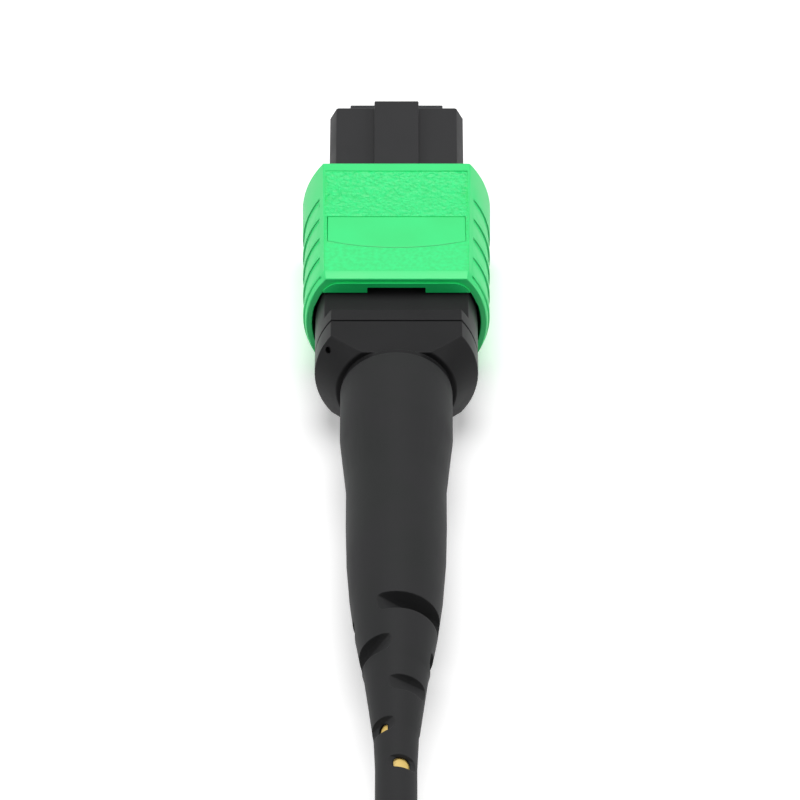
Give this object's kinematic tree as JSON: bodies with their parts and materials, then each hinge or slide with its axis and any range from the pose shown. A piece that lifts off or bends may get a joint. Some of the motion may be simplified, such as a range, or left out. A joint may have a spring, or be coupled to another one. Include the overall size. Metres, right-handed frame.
{
  "type": "multi-fibre push-on connector plug",
  "caption": "Keyed rectangular fibre plug with a spring-loaded angled ferrule, sliding green pull sleeve and a slotted black strain-relief boot.",
  "frame": {"origin": "centre of the ferrule's mating end face", "axes": "+Y is the way the plug is pushed in, +Z is the key side, +X is right when seen from the boot"},
  "size_m": [0.0128, 0.0707, 0.008],
  "materials": {
    "sleeve_plastic": "moulded, fine spark texture on its faces",
    "housing_plastic": "moulded, satin",
    "push_plastic": "moulded, satin",
    "boot_elastomer": "moulded elastomer, soft sheen",
    "ferrule_resin": "glass-filled resin, polished end",
    "epoxy": "cured, glossy",
    "ferrule_boot_rubber": "soft rubber",
    "keeper_steel": "stamped and tumbled",
    "spring_wire": "drawn wire",
    "crimp_metal": "nickel-plated, turned",
    "jacket_yellow": "extruded, satin",
    "aramid": "straight yarn",
    "fibre_blue": "thin coloured coating on glass",
    "fibre_orange": "thin coloured coating on glass",
    "fibre_green": "thin coloured coating on glass",
    "fibre_brown": "thin coloured coating on glass",
    "fibre_slate": "thin coloured coating on glass",
    "fibre_white": "thin coloured coating on glass",
    "fibre_red": "thin coloured coating on glass",
    "fibre_black": "thin coloured coating on glass",
    "fibre_yellow": "thin coloured coating on glass",
    "fibre_violet": "thin coloured coating on glass",
    "fibre_rose": "thin coloured coating on glass",
    "fibre_aqua": "thin coloured coating on glass"
  },
  "bodies": {
    "housing": {"inner_housing": "housing_plastic", "spring_push": "push_plastic", "crimp_ring": "crimp_metal", "strain_relief_boot": "boot_elastomer", "cable_jacket": "jacket_yellow", "aramid_yarn": "aramid", "coupling_spring_left": "spring_wire", "coupling_spring_right": "spring_wire", "ferrule_spring": "spring_wire"},
    "sleeve": {"coupling_sleeve": "sleeve_plastic"},
    "ferrule": {"ferrule": "ferrule_resin", "window_epoxy": "epoxy", "ferrule_boot": "ferrule_boot_rubber", "pin_keeper": "keeper_steel", "fibre_01": "fibre_blue", "fibre_02": "fibre_orange", "fibre_03": "fibre_green", "fibre_04": "fibre_brown", "fibre_05": "fibre_slate", "fibre_06": "fibre_white", "fibre_07": "fibre_red", "fibre_08": "fibre_black", "fibre_09": "fibre_yellow", "fibre_10": "fibre_violet", "fibre_11": "fibre_rose", "fibre_12": "fibre_aqua"}
  },
  "joints": [
    {"name": "sleeve_slide", "type": "slide", "parent": "housing", "child": "sleeve", "axis": [0, -1, 0], "range_m": [0, 0.0018], "stiffness_N_per_m": 400, "deforming": ["coupling_spring_left", "coupling_spring_right"]},
    {"name": "ferrule_slide", "type": "slide", "parent": "housing", "child": "ferrule", "axis": [0, -1, 0], "range_m": [0, 0.001], "stiffness_N_per_m": 2000, "deforming": ["ferrule_spring"]}
  ]
}
